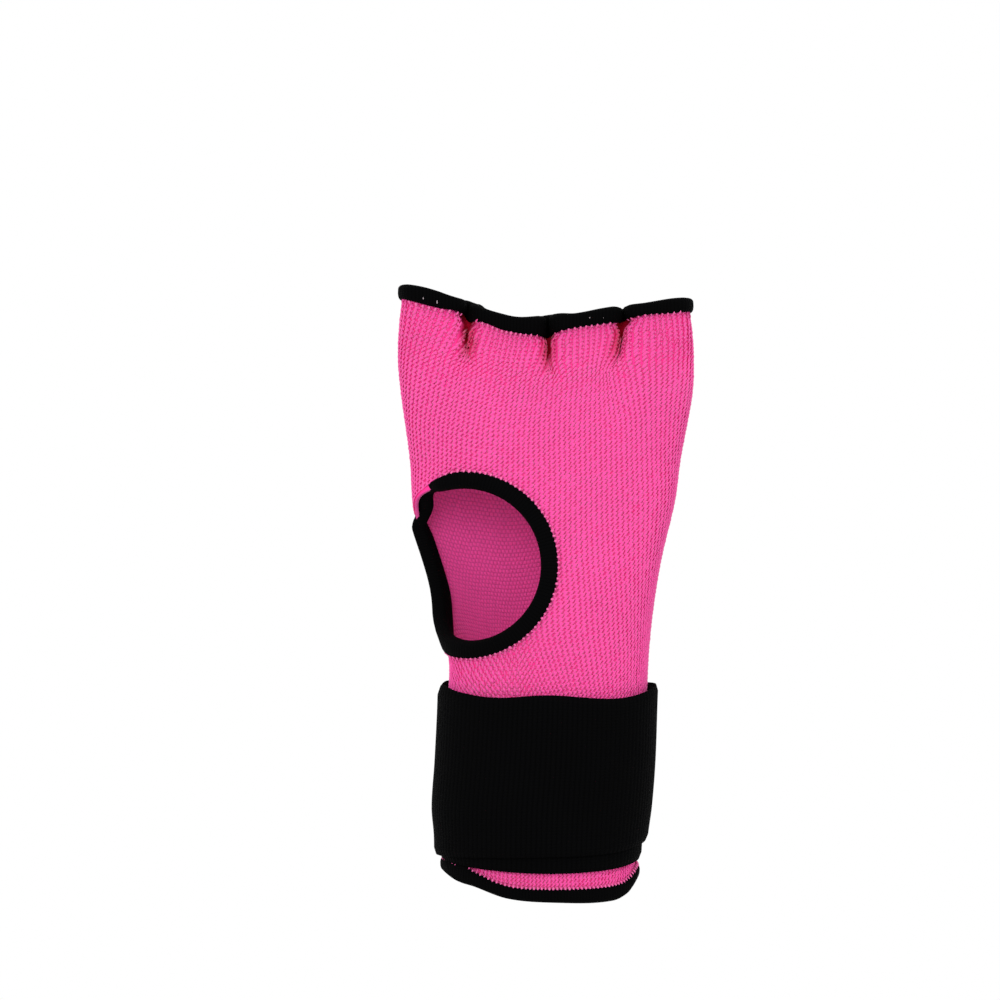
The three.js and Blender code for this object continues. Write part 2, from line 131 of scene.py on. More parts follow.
def smooth_between(places, values, at):
    """Smooth values between the rows of a table, level beyond its ends."""
    last = len(places) - 1
    row = np.arange(len(places))
    after = np.minimum(row + 1, last)
    before = np.maximum(row - 1, 0)
    slope = (values[after] - values[before]) / (places[after] - places[before])
    at = np.clip(at, places[0], places[last])
    low = np.clip(np.searchsorted(places, at, side="right") - 1, 0, last - 1)
    span = places[low + 1] - places[low]
    s = (at - places[low]) / span
    start = (1 + 2 * s) * (1 - s) ** 2 * values[low] + s * (1 - s) ** 2 * span * slope[low]
    end = s * s * (3 - 2 * s) * values[low + 1] + s * s * (s - 1) * span * slope[low + 1]
    return start + end


def in_table(table, column, at):
    """Value in a column of a table, smooth between the rows, which are placed by their first column."""
    return smooth_between(table[:, 0], table[:, column], at)


def unit(vectors):
    return vectors / np.linalg.norm(vectors, axis=-1, keepdims=True)


def length_along(places):
    """Distance along a line of places, from 0."""
    return np.concatenate([[0], np.cumsum(np.linalg.norm(np.diff(places, axis=0), axis=1))])


def level_outwards(across):
    """The level direction out of the fabric, from steps round it."""
    return unit(np.stack([across[..., 1], -across[..., 0], 0 * across[..., 0]], axis=-1))


def eased(value, start, end):
    """0 before the start, 1 after the end, smooth between."""
    s = np.clip((value - start) / (end - start), 0, 1)
    return s * s * (3 - 2 * s)


def table_value(table, row, column):
    """Value of a table at a place between its rows and columns, both counted from 0."""
    row = np.clip(row, 0, table.shape[0] - 1.001)
    column = np.clip(column, 0, table.shape[1] - 1.001)
    r = row.astype(int)
    c = column.astype(int)
    low = table[r, c] * (1 - column + c) + table[r, c + 1] * (column - c)
    high = table[r + 1, c] * (1 - column + c) + table[r + 1, c + 1] * (column - c)
    return low + (high - low) * (row - r)


def lobe_depth(across):
    """Depth of the outline at the finger edge: half an ellipse at each opening, a rounded fold at a tack."""
    finger = np.clip(np.searchsorted(finger_bounds, across, side="right") - 1, 0, 3)
    start = finger_bounds[finger]
    end = finger_bounds[finger + 1]
    half = (end - start) / 2
    from_end = np.clip(half - np.abs(across - (start + end) / 2), 0, None)
    tacked = np.where(across < (start + end) / 2, finger > 0, finger < 3)
    foot = np.where(tacked, TACK_HALF + VALLEY_RADIUS, 0)
    inset = np.where(tacked, VALLEY_RADIUS, 0)
    share = (half - from_end) / (half - inset)
    bend = np.clip(1 - share**LOBE_SQUARE, 0, None) ** (1 / LOBE_SQUARE)
    valley = foot - np.sqrt(np.clip(VALLEY_RADIUS**2 - from_end**2, 0, None))
    return np.where(tacked & (from_end < VALLEY_RADIUS), valley, foot + (LOBE_DEPTH - foot) * bend)


def section_place(angle, z):
    """Across and out on the plain tube. The angle is 0 at the thumb side, goes over the palm to the little
    finger's side at pi, and on over the back."""
    left, right, palm, back, square = (in_table(section_rows, k, z) for k in range(1, 6))
    share = -np.cos(angle)
    on_palm = np.sin(angle) >= 0
    across = (left + right) / 2 + share * (right - left) / 2
    rim = np.clip(1 - np.abs(share) ** square, 0, None) ** (1 / square)
    out = np.where(on_palm, palm, back) * rim
    for at_x, at_z, wide, tall, deep in hollow_rows:
        hollow = deep * np.exp(-(((across - at_x) / wide) ** 2) - ((z - at_z) / tall) ** 2)
        out = out - on_palm * rim * hollow
    return across, out


def tube_place(angle, z):
    """Places on the middle of the fabric, with the folds under the finger edge."""
    across, out = section_place(angle, z)
    top_left, top_right = finger_bounds[0], finger_bounds[-1]
    top_across = (top_left + top_right) / 2 - np.cos(angle) * (top_right - top_left) / 2
    under_edge = in_table(finger_edge_rows, 1, top_across) - z
    lobe = lobe_depth(top_across)
    depth = lobe + (out - lobe) * eased(under_edge, PINCH_HOLD, PINCH_HOLD + PINCH_FADE)
    closing = FOLD_CLOSING * eased(under_edge, *WALLS_MEET) * (1 - eased(under_edge, *WALLS_PART))
    slant_gone = eased(under_edge, *SLANT_FADE)
    for tack, slant in zip(finger_bounds[1:4], fold_slants):
        aside = top_across - tack
        drawn_in = closing * aside * np.exp(-((aside / FOLD_REACH) ** 2))
        running = slant * np.clip(under_edge - SLANT_FROM, 0, SLANT_FOR) * (1 - slant_gone)
        across = across + running * np.exp(-((aside / SLANT_REACH) ** 2)) - drawn_in
    return np.stack([across, np.where(np.sin(angle) >= 0, -depth, depth), z + 0 * depth], axis=-1)


# Tables of the way round at each level. "round" is 0 at the thumb side, 1 at the little finger's side after
# the palm side, and 2 at the thumb side again after the back, by length over the fabric.
LEVEL_STEP = 2.0
LOWEST_LEVEL = -6.0
HIGHEST_LEVEL = 190.0
ROUND_STEP = 0.005
levels = np.arange(LOWEST_LEVEL, HIGHEST_LEVEL + 1, LEVEL_STEP)
HALF_STEPS = 1440
fine_angles = np.linspace(0, 2 * math.pi, 2 * HALF_STEPS + 1)
round_values = np.arange(-1, 3 + ROUND_STEP, ROUND_STEP)
angle_rows = []
level_facts = []
for z in levels:
    across, out = section_place(fine_angles, np.full(fine_angles.shape, z))
    depth = np.where(fine_angles <= math.pi, -out, out)
    gone = np.concatenate([[0], np.cumsum(np.hypot(np.diff(across), np.diff(depth)))])
    palm_length = gone[HALF_STEPS]
    back_length = gone[-1] - palm_length
    way = np.where(fine_angles <= math.pi, gone / palm_length, 1 + (gone - palm_length) / back_length)
    turns = np.floor(round_values / 2)
    angle_rows.append(np.interp(round_values - 2 * turns, way, fine_angles) + 2 * math.pi * turns)
    palm = slice(HALF_STEPS + 1)
    level_facts.append((palm_length, back_length, np.interp(0, across[palm], way[palm])))
angle_table = np.array(angle_rows)
level_facts = np.array(level_facts)

drift_steps = np.arange(0, WALES + 1)
drift_nodes = np.array([in_table(drift_rows, k, levels) for k in range(1, 9)])
drift_table = np.array([smooth_between(drift_wales, row, drift_steps) for row in drift_nodes.T])

# Where each wale meets the finger edge
half_edge = []
for finger in range(4):
    swing = np.linspace(0, math.pi, 6001)
    start, end = finger_bounds[finger : finger + 2]
    across = (start + end) / 2 - np.cos(swing) * (end - start) / 2
    deeper = np.diff(lobe_depth(np.clip(across, start, end - 1e-9)))
    outer_side = (deeper > 0) if finger == 0 else (deeper < 0) & (finger == 3)
    step = np.hypot(np.diff(across), np.where(outer_side, SIDE_STRETCH, DEPTH_STRETCH) * deeper)
    gone = np.concatenate([[0], np.cumsum(step)]) / step.sum()
    first, last = wales_before_bounds[finger : finger + 2]
    half_edge.append((first + gone * (last - first), across))
edge_wales = np.concatenate([w for w, _ in half_edge])
edge_across = np.concatenate([x for _, x in half_edge])


def angle_at(way_round, z):
    return table_value(angle_table, (z - LOWEST_LEVEL) / LEVEL_STEP, (way_round + 1) / ROUND_STEP)


def edge_angle(wale):
    """The angle at which a wale meets the finger edge."""
    turn = np.floor(wale / WALES)
    place = wale - turn * WALES
    on_back = place > HALF_ROUND
    across = np.interp(np.where(on_back, WALES - place, place), edge_wales, edge_across)
    middle = (finger_bounds[0] + finger_bounds[-1]) / 2
    half = (finger_bounds[-1] - finger_bounds[0]) / 2
    angle = np.arccos(np.clip(-(across - middle) / half, -1, 1))
    return np.where(on_back, 2 * math.pi - angle, angle) + 2 * math.pi * turn


def wale_round(wale, z):
    """How far round a wale lies at a height."""
    place = wale - np.floor(wale / WALES) * WALES
    drift = table_value(drift_table, (z - LOWEST_LEVEL) / LEVEL_STEP, place)
    return (wale + drift) / HALF_ROUND


def edge_heights(wale):
    """Heights of the knit's edges at the hem and at the finger openings."""
    foot = np.zeros(np.shape(wale))
    top_across = tube_place(edge_angle(wale), foot + HIGHEST_LEVEL)[..., 0]
    finger = in_table(finger_edge_rows, 1, top_across)
    angle = angle_at(wale_round(wale, foot), foot)
    across = section_place(angle, foot)[0]
    palm = in_table(hem_rows, 1, across)
    back = hem_rows[0, 1] + (hem_rows[-1, 1] - hem_rows[0, 1]) * (1 - np.cos(angle)) / 2
    return BINDING_LIP + np.where(np.sin(angle) >= 0, palm, back), finger


def knit_place(wale, height):
    """Places on the middle of the fabric for wales and shares of the height."""
    wale, height = np.broadcast_arrays(np.asarray(wale, float), np.asarray(height, float))
    hem, finger = edge_heights(wale)
    rise = COURSE_RISE * 4 * height * (1 - height)
    z = hem + (finger - hem) * height - rise * np.cos(np.pi * wale / HALF_ROUND)
    under = np.clip(finger - z, 0, None)
    fan = np.exp(-((under / FAN) ** FAN_SHARPNESS)) * (1 - eased(under, *FAN_ENDS))
    low_angle = angle_at(wale_round(wale, z), z)
    return tube_place(low_angle + (edge_angle(wale) - low_angle) * fan, z)


def fold_shade(place, under):
    """How much shade is painted into the folds at the tacks, from 0 to 1, at places this far under the
    finger edge.
    """
    from_tacks = place[..., 0, None] - finger_bounds[1:4]
    aside = np.abs(from_tacks).min(axis=-1)
    depth = eased(FOLD_LIT - np.abs(place[..., 1]), 0, FOLD_LIT - FOLD_DARK)
    mouth = depth * (1 - eased(aside, *MOUTH_ASIDE)) * (1 - eased(under, *MOUTH_BELOW))
    running = np.array(fold_slants) * np.clip(np.asarray(under)[..., None] - SLANT_FROM, 0, SLANT_FOR)
    from_line = np.abs(from_tacks - running).min(axis=-1)
    sets_in, fades = LINE_BELOW
    line = FOLD_LINE_SHADE * (1 - eased(from_line, *FOLD_LINE_REACH)) * eased(under, *sets_in)
    return np.maximum(mouth, line * (1 - eased(under, *fades)))


def knit_frame(wale, height):
    """Place on the fabric, the steps to the next wale and the next course, and the normal outwards."""
    aside = 0.3
    above = 0.5 / COURSES
    across = (knit_place(wale + aside, height) - knit_place(wale - aside, height)) / (2 * aside)
    up = knit_place(wale, height + above) - knit_place(wale, height - above)
    normal = np.cross(across, up)
    normal /= np.linalg.norm(normal, axis=-1, keepdims=True) + 1e-12
    return knit_place(wale, height), across, up, normal


# The thumb hole's cut edge: half an ellipse towards the palm and one round the thumb side onto the back.
# "along" runs over the fabric from the middle of the palm side to the thumb side and on.
THUMB_ALONG = 23.0
THUMB_HEIGHT = 98.8
THUMB_TALL = 24.0
THUMB_PALM_REACH = 24.2
THUMB_BACK_REACH = 31.5
ROLL_SETS_IN = (16, 46)  # degrees round the hole, from its side upwards
ROLL_FADES = (55, 90)


def level_fact(z, which):
    return np.interp(z, levels, level_facts[:, which])


def along_of(way_round, z):
    palm_length, back_length, middle = (level_fact(z, k) for k in range(3))
    on_palm = (middle - way_round) * palm_length
    past_side = middle * palm_length - way_round * back_length
    return np.where(way_round >= 0, on_palm, past_side)


def round_of(along, z):
    palm_length, back_length, middle = (level_fact(z, k) for k in range(3))
    side = middle * palm_length
    return np.where(along <= side, middle - along / palm_length, (side - along) / back_length)


def hole_size(along, z):
    """Size of the ellipse through a place, as a share of the thumb hole's, and the distance to its edge."""
    aside = along - THUMB_ALONG
    above = z - THUMB_HEIGHT
    reach = np.where(aside < 0, THUMB_PALM_REACH, THUMB_BACK_REACH)
    size = np.hypot(aside / reach, above / THUMB_TALL)
    return size, np.hypot(aside, above) * (1 - 1 / np.maximum(size, 1e-6))


def rolled_under(angle):
    """How far the hole's tape is rolled in behind the knit, at its upper side corner."""
    degrees = (np.degrees(angle) + 90) % 360 - 90
    return eased(degrees, *ROLL_SETS_IN) * (1 - eased(degrees, *ROLL_FADES))


def fabric_place(along, z):
    return tube_place(angle_at(round_of(along, z), z), z)


def fabric_normal(along, z):
    near = 0.8
    across = fabric_place(along - near, z) - fabric_place(along + near, z)
    up = fabric_place(along, z + near) - fabric_place(along, z - near)
    return unit(np.cross(across, up))


# The knit's ground is the inner half of the fabric, which shows as dark dots between the stitches and as the
# fabric's plain inside face in the openings. It is one tube of cotton and elastane with a thumb hole in it.
GROUND_OUT = 0.3
GROUND_IN = -0.8
GROUND_COLUMNS = 260
GROUND_ROWS = 132


def placed(name, data):
    """A new object in the scene."""
    piece = bpy.data.objects.new(name, data)
    scene.collection.objects.link(piece)
    return piece


def mesh_piece(name, points, faces, materials):
    """An object with a mesh from places in millimetres."""
    mesh = bpy.data.meshes.new(name)
    mesh.from_pydata((np.asarray(points) * MM).tolist(), [], np.asarray(faces).tolist())
    for material in materials:
        mesh.materials.append(material)
    mesh.polygons.foreach_set("use_smooth", [True] * len(mesh.polygons))
    mesh.update()
    return placed(name, mesh)


def new_material(name):
    """A material with only a Principled shader. Gives the material, its node tree and the shader."""
    material = bpy.data.materials.new(name)
    material.use_nodes = True
    return material, material.node_tree, material.node_tree.nodes["Principled BSDF"]


def node(tree, kind, links=(), **values):
    """A node with some of its inputs set, and links given as pairs of an input and an output socket."""
    made = tree.nodes.new(kind)
    for key, value in values.items():
        setattr(made, key, value)
    for socket, source in dict(links).items():
        if hasattr(source, "is_output"):
            tree.links.new(source, made.inputs[socket])
        else:
            made.inputs[socket].default_value = source
    return made


def maths(tree, operation, *values):
    """The result of a Math node on numbers or output sockets."""
    return node(tree, "ShaderNodeMath", dict(enumerate(values)), operation=operation).outputs[0]


def vector_maths(tree, operation, *values):
    return node(tree, "ShaderNodeVectorMath", dict(enumerate(values)), operation=operation).outputs[0]


def put_out(group, end, **sources):
    """Links a group's results to its outputs."""
    for label, source in sources.items():
        group.links.new(source, end[label])


def node_group(name, inputs, outputs):
    """An empty shader group from the names of its sockets, and for the inputs their values too."""
    kinds = {"Place": "NodeSocketVector", "Colour": "NodeSocketColor"}
    group = bpy.data.node_groups.new(name, "ShaderNodeTree")
    for label in ("Place", *inputs):
        kind = kinds.get(label, "NodeSocketFloat")
        socket = group.interface.new_socket(label, in_out="INPUT", socket_type=kind)
        if label in inputs:
            socket.default_value = inputs[label]
    for label in outputs:
        kind = kinds.get(label, "NodeSocketFloat")
        group.interface.new_socket(label, in_out="OUTPUT", socket_type=kind)
    return group, group.nodes.new("NodeGroupInput").outputs, group.nodes.new("NodeGroupOutput").inputs


# Fibre fuzz is in every textile here: the fine unevenness of spun yarn, in tone and in height
fuzz_values = {"Colour": (1, 1, 1, 1), "Unevenness": 0.2, "Size": 0.0006}
fuzz_group, fuzz_in, fuzz_out = node_group("spun_fibre", fuzz_values, ["Colour", "Height", "Roughness"])
fuzz_place = fuzz_in["Place"]
fuzz_scale = maths(fuzz_group, "DIVIDE", 1.0, fuzz_in["Size"])
fuzz_look = {"Vector": fuzz_place, "Scale": fuzz_scale, "Detail": 3.0, "Roughness": 0.6}
fuzz_fine = node(fuzz_group, "ShaderNodeTexNoise", fuzz_look).outputs["Fac"]
fuzz_look = {"Vector": fuzz_place, "Scale": 55.0, "Detail": 2.0}
fuzz_broad = node(fuzz_group, "ShaderNodeTexNoise", fuzz_look).outputs["Fac"]
fuzz_swing = maths(fuzz_group, "SUBTRACT", maths(fuzz_group, "ADD", fuzz_fine, fuzz_broad), 1.0)
fuzz_tone = maths(fuzz_group, "MULTIPLY_ADD", fuzz_swing, fuzz_in["Unevenness"], 1.0)
fuzz_rough = node(fuzz_group, "ShaderNodeMapRange", {"Value": fuzz_fine, "To Min": 0.78, "To Max": 1.0})
put_out(
    fuzz_group,
    fuzz_out,
    Colour=vector_maths(fuzz_group, "MULTIPLY", fuzz_in["Colour"], fuzz_tone),
    Height=fuzz_fine,
    Roughness=fuzz_rough.outputs["Result"],
)


def textile(
    name, colour, size, unevenness=0.3, height=0.0001, sheen=0.0, specular=0.03, pattern=None, folded=None
):
    """A textile material. size and height are its fuzz's own. pattern, if any, adds a height and a tone from
    its own node group, shade painted into the pattern's grooves. folded, if any, is the colour of the shade
    painted deep in a fold, mixed in as far as the fold attribute says."""
    material, tree, shader = new_material(name)
    place = node(tree, "ShaderNodeTexCoord").outputs["Object"]
    look = {"Place": place, "Colour": (*colour, 1), "Unevenness": unevenness, "Size": size}
    fuzz = node(tree, "ShaderNodeGroup", look, node_tree=fuzz_group).outputs
    shader.inputs["Specular IOR Level"].default_value = specular
    shader.inputs["Sheen Weight"].default_value = sheen
    shader.inputs["Sheen Roughness"].default_value = 0.5
    shader.inputs["Sheen Tint"].default_value = (1, 0.75, 0.88, 1) if colour[0] > 0.3 else (1, 1, 1, 1)
    bump = node(tree, "ShaderNodeBump", {"Strength": 0.5, "Distance": height, "Height": fuzz["Height"]})
    own_colour = fuzz["Colour"]
    # painted shade: deep in a fold the colour is mixed towards the dark crimson, as far as the fold
    # attribute says
    if folded is not None:
        depth = node(tree, "ShaderNodeAttribute", attribute_name="fold").outputs["Fac"]
        mixed = node(tree, "ShaderNodeMix", {0: depth, 6: own_colour, 7: (*folded, 1)}, data_type="RGBA")
        own_colour = mixed.outputs[2]
    if pattern is not None:
        group, map_name, values, relief = pattern
        over = node(tree, "ShaderNodeUVMap", uv_map=map_name).outputs["UV"]
        own = node(tree, "ShaderNodeGroup", {"Place": over, **values}, node_tree=group).outputs
        # a pattern's tone is shade painted into its grooves and gaps, and darkens the colour there
        own_colour = vector_maths(tree, "MULTIPLY", own_colour, own["Tone"])
        raised = {"Strength": 0.8, "Distance": relief, "Height": own["Height"]}
        bump = node(tree, "ShaderNodeBump", {**raised, "Normal": bump.outputs["Normal"]})
    tree.links.new(fuzz["Roughness"], shader.inputs["Roughness"])
    tree.links.new(own_colour, shader.inputs["Base Color"])
    tree.links.new(bump.outputs["Normal"], shader.inputs["Normal"])
    return material


def waves(group, source, times, power=1.0):
    """The size of a sine of a value, from 0 to 1, in a node group."""
    sine = maths(group, "SINE", maths(group, "MULTIPLY", source, times))
    return maths(group, "POWER", maths(group, "ABSOLUTE", sine), power)


# The rows of loops on a knit's inside, from a map whose units are one wale and one course, with shade
# painted into the gaps between the loops
loops_group, loops_in, loops_out = node_group("purl_loops", {"Gap shade": 0.6}, ["Height", "Tone"])
loops_split = node(loops_group, "ShaderNodeSeparateXYZ", {0: loops_in["Place"]}).outputs
loops_row = maths(loops_group, "FLOOR", loops_split["Y"])
loops_side = maths(loops_group, "MULTIPLY_ADD", loops_row, 0.5, loops_split["X"])
loops_wale = waves(loops_group, loops_side, math.pi, 0.6)
loops_course = waves(loops_group, loops_split["Y"], math.pi, 0.6)
loops_height = maths(loops_group, "MULTIPLY", loops_wale, loops_course)
# painted shade: the gaps between the loops, where the height is low, are darker in tone
loops_look = {"Value": loops_height, "From Max": 0.7, "To Min": loops_in["Gap shade"], "To Max": 1.0}
loops_gap_shade = node(loops_group, "ShaderNodeMapRange", loops_look).outputs["Result"]
put_out(loops_group, loops_out, Height=loops_height, Tone=loops_gap_shade)

PINK = (0.96, 0.078, 0.385)
# the dark crimson of the shade painted into the folds at the tacks
FOLD_SHADE_CRIMSON = (0.58, 0.0, 0.035)
GROUND_PINK = (0.98, 0.045, 0.33)
ground_outside = textile(
    "pink_knit_ground", GROUND_PINK, size=0.0005, unevenness=0.2, specular=0.25, folded=FOLD_SHADE_CRIMSON
)
loops_pattern = (loops_group, "loops", {"Gap shade": 0.72}, 0.0003)
ground_inside = textile(
    "pink_knit_inside", PINK, size=0.0006, unevenness=0.15, sheen=0.15, specular=0.25, pattern=loops_pattern
)

columns = np.arange(GROUND_COLUMNS) * WALES / GROUND_COLUMNS
rows = np.linspace(0, 1, GROUND_ROWS + 1)
EDGE_MARGIN = 0.004  # share of the height within the knit's edges where its normals are taken
place, _, _, normal = knit_frame(columns[None, :], np.clip(rows[:, None], EDGE_MARGIN, 1 - EDGE_MARGIN))
edge_place = knit_place(columns[None, :], rows[:, None])
way = wale_round(np.broadcast_to(columns[None, :], place.shape[:2]), edge_place[..., 2])
way = np.where(way > 1.5, way - 2, way)
along = along_of(way, edge_place[..., 2])
size, _ = hole_size(along, edge_place[..., 2])
ABOVE_HOLE = 130  # mm, well above the thumb hole
inside = (size < 1) & (edge_place[..., 2] < ABOVE_HOLE) & (way < 1)
snap = 1 / np.maximum(size, 0.2)
snapped_along = np.where(inside, THUMB_ALONG + (along - THUMB_ALONG) * snap, THUMB_ALONG)
snapped_z = np.where(inside, THUMB_HEIGHT + (edge_place[..., 2] - THUMB_HEIGHT) * snap, THUMB_HEIGHT)
snapped = fabric_place(snapped_along, snapped_z)
middle = np.where(inside[..., None], snapped, edge_place)
outer = (middle + normal * GROUND_OUT).reshape(-1, 3)
inner = (middle + normal * GROUND_IN).reshape(-1, 3)

column = np.tile(np.arange(GROUND_COLUMNS), GROUND_ROWS)
row = np.repeat(np.arange(GROUND_ROWS), GROUND_COLUMNS)
beside = (column + 1) % GROUND_COLUMNS
low = row * GROUND_COLUMNS
high = low + GROUND_COLUMNS
quads = np.stack([low + column, low + beside, high + beside, high + column], axis=1)
kept = ~inside.reshape(-1)[quads].all(axis=1)
quads, column, row = quads[kept], column[kept], row[kept]
sides = np.concatenate([quads[:, [0, 1]], quads[:, [1, 2]], quads[:, [2, 3]], quads[:, [3, 0]]])
_, first, uses = np.unique(np.sort(sides, axis=1), axis=0, return_index=True, return_counts=True)
rim = sides[first[uses == 1]]
shift = len(outer)
rim_faces = np.stack([rim[:, 1], rim[:, 0], rim[:, 0] + shift, rim[:, 1] + shift], axis=1)
faces = np.concatenate([quads, quads[:, ::-1] + shift, rim_faces])
knit = mesh_piece("knit", np.concatenate([outer, inner]), faces, [ground_outside, ground_inside])
knit.data.polygons.foreach_set("material_index", [0] * len(quads) + [1] * (len(quads) + len(rim)))
# the shade painted into the folds at the tacks, kept on the ground's points for its material
under = edge_heights(columns)[1][None, :] - edge_place[..., 2]
ground_fold = fold_shade(edge_place, under).reshape(-1)
fold_values = knit.data.attributes.new("fold", "FLOAT", "POINT").data
fold_values.foreach_set("value", np.tile(ground_fold, 2))

corner_columns = np.stack([column, column + 1, column + 1, column], axis=1)
corner_rows = np.stack([row, row, row + 1, row + 1], axis=1)
wales_map = np.stack([corner_columns * WALES / GROUND_COLUMNS, corner_rows * COURSES / GROUND_ROWS], axis=-1)
bake_map = np.stack([corner_columns / GROUND_COLUMNS * 0.49, corner_rows / GROUND_ROWS], axis=-1)
rim_map = np.zeros((len(rim), 4, 2))
inside_map = bake_map + np.array([0.5, 0.0])
for name, front, behind in (("loops", wales_map, wales_map), ("OFBake", bake_map, inside_map)):
    whole = np.concatenate([front, behind[:, ::-1], rim_map])
    knit.data.uv_layers.new(name=name).data.foreach_set("uv", whole.reshape(-1))
knit.data.update()

# The stitches are the knit's outer face. Each has a bold leg that rises to the right, in line with the next
# wale's, and a fainter one that crosses behind it. Where the fabric is pulled lengthwise, under the tape at
# the finger openings and below the thumb hole, the legs lie along the wale. Each leg is a bowed spindle.
FINGER_LAP = 2.8  # from the knit's edge to the tape's own, at the finger openings
THUMB_LAP = 3.5  # at the thumb hole
CUFF_LAP = 2.2  # at the hem
# strap: turn, lower edge, upper edge; turn 0 is the thumb side, 0.25 the middle of the palm side
strap_rows = np.array([
    (-0.06, 11.9, 56.0), (0, 11.4, 56.5), (0.12, 9.5, 56.5), (0.25, 8.3, 56.5), (0.38, 8.9, 57.0),
    (0.5, 11.0, 58.5), (0.75, 11.5, 60.0), (0.95, 11.8, 63.4), (1.0, 12.0, 61.4), (1.03, 12.1, 62.9),
    (1.08, 12.3, 61.3), (1.15, 12.8, 59.9), (1.25, 13.2, 60.7), (1.38, 14.0, 59.6), (1.5, 16.4, 62.8),
    (1.66, 15.0, 62.0),
])
UNDER_STRAP = 2.5  # how far under the strap's edge the stitches still go on
# of a leg: from and to (wale, course), height over the fabric's middle, half width, half thickness; first in
# slack knit, then in pulled knit
leg_rows = (
    ((-0.56, -0.60, 0.58, 0.64, 0.50, 0.43, 0.27), (-0.20, -0.74, 0.14, 0.80, 0.50, 0.47, 0.27)),
    ((0.38, 0.12, -0.40, 0.84, 0.43, 0.56, 0.26), (0.28, -0.22, 0.72, 0.26, 0.36, 0.38, 0.25)),
)
LEG_BOW = 0.14


def points_with(name, places, folds, **vectors):
    """A mesh of loose points, with one vector attribute for each of the other names."""
    mesh = bpy.data.meshes.new(name)
    mesh.vertices.add(len(places))
    mesh.vertices.foreach_set("co", (places * MM).reshape(-1))
    for key, value in vectors.items():
        values = mesh.attributes.new(key, "FLOAT_VECTOR", "POINT").data
        values.foreach_set("vector", np.ascontiguousarray(value).reshape(-1))
    mesh.attributes.new("fold", "FLOAT", "POINT").data.foreach_set("value", folds)
    return placed(name, mesh)


def named_vector(tree, name):
    found = node(tree, "GeometryNodeInputNamedAttribute", {"Name": name}, data_type="FLOAT_VECTOR")
    return found.outputs["Attribute"]


def changed(tree, change, geometry, **sockets):
    """Geometry after one Geometry node's change."""
    return node(tree, "GeometryNode" + change, {"Geometry": geometry, **sockets}).outputs["Geometry"]


def stored_map(tree, geometry, name, value):
    """Geometry with a UV map stored on its corners."""
    sockets = {"Geometry": geometry, "Name": name, "Value": value}
    kind = "GeometryNodeStoreNamedAttribute"
    return node(tree, kind, sockets, data_type="FLOAT2", domain="CORNER").outputs["Geometry"]


def spindle_tree():
    """Geometry Nodes that put a bowed spindle of yarn on each point of a mesh."""
    tree = bpy.data.node_groups.new("yarn_spindles", "GeometryNodeTree")
    tree.interface.new_socket("Geometry", in_out="INPUT", socket_type="NodeSocketGeometry")
    for label, value in (("Bow", 0.0001), ("Sides", 4), ("Rings", 4)):
        kind = "NodeSocketFloat" if isinstance(value, float) else "NodeSocketInt"
        tree.interface.new_socket(label, in_out="INPUT", socket_type=kind).default_value = value
    tree.interface.new_socket("Yarn", in_out="INPUT", socket_type="NodeSocketMaterial")
    tree.interface.new_socket("Geometry", in_out="OUTPUT", socket_type="NodeSocketGeometry")
    start = tree.nodes.new("NodeGroupInput").outputs
    names = ("leg_axis", "leg_normal", "leg_size", "map_size", "map_corner", "yarn_map")
    axis, normal, size, map_size, map_corner, own_map = (named_vector(tree, name) for name in names)
    round_ball = {"Segments": start["Sides"], "Rings": start["Rings"], "Radius": 1.0}
    ball = node(tree, "GeometryNodeMeshUVSphere", round_ball).outputs
    spindle = stored_map(tree, ball["Mesh"], "yarn_map", ball["UV Map"])
    axes = {"primary_axis": "Z", "secondary_axis": "Y"}
    turn = node(tree, "FunctionNodeAxesToRotation", {0: axis, 1: normal}, **axes)
    laid = {"Points": start["Geometry"], "Instance": spindle, "Rotation": turn.outputs[0], "Scale": size}
    legs = node(tree, "GeometryNodeInstanceOnPoints", laid).outputs["Instances"]
    legs = changed(tree, "RealizeInstances", legs)
    # the bow: the middle of a spindle stands out along its normal
    from_end = node(tree, "ShaderNodeSeparateXYZ", {0: own_map}).outputs["Y"]
    lift = maths(tree, "MULTIPLY", waves(tree, from_end, math.pi), start["Bow"])
    offset = node(tree, "ShaderNodeVectorMath", {0: normal, "Scale": lift}, operation="SCALE").outputs[0]
    legs = changed(tree, "SetPosition", legs, Offset=offset)
    whole = vector_maths(tree, "ADD", vector_maths(tree, "MULTIPLY", own_map, map_size), map_corner)
    legs = stored_map(tree, legs, "OFBake", whole)
    for name in names:
        legs = changed(tree, "RemoveAttribute", legs, Name=name)
    legs = changed(tree, "SetMaterial", changed(tree, "SetShadeSmooth", legs), Material=start["Yarn"])
    tree.links.new(legs, tree.nodes.new("NodeGroupOutput").inputs["Geometry"])
    return tree


spindles = spindle_tree()


def yarn_piece(name, places, axes, normals, sizes, folds, material, bow):
    """A piece of spindles of yarn. sizes are half widths, half thicknesses and half lengths."""
    count = len(places)
    across = math.ceil(math.sqrt(count))
    index = np.arange(count)
    cell = 1 / across
    corner = np.stack([index % across * cell, index // across * cell, 0 * index], axis=1)
    share = np.tile([cell * 0.9, cell * 0.9, 0.0], (count, 1))
    vectors = {"leg_axis": axes, "leg_normal": normals, "leg_size": sizes * MM}
    points = points_with(name + "_points", places, folds, **vectors, map_corner=corner, map_size=share)
    modifier = points.modifiers.new("yarn", "NODES")
    modifier.node_group = spindles
    chosen = {"Bow": bow * MM, "Sides": 4, "Rings": 4, "Yarn": material}
    for item in spindles.interface.items_tree:
        if item.in_out == "INPUT" and item.name in chosen:
            modifier[item.identifier] = chosen[item.name]
    bpy.context.view_layer.update()
    evaluated = points.evaluated_get(bpy.context.evaluated_depsgraph_get())
    mesh = bpy.data.meshes.new_from_object(evaluated)
    mesh.name = name
    bpy.data.objects.remove(points)
    piece = placed(name, mesh)
    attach(piece, "root")
    return piece


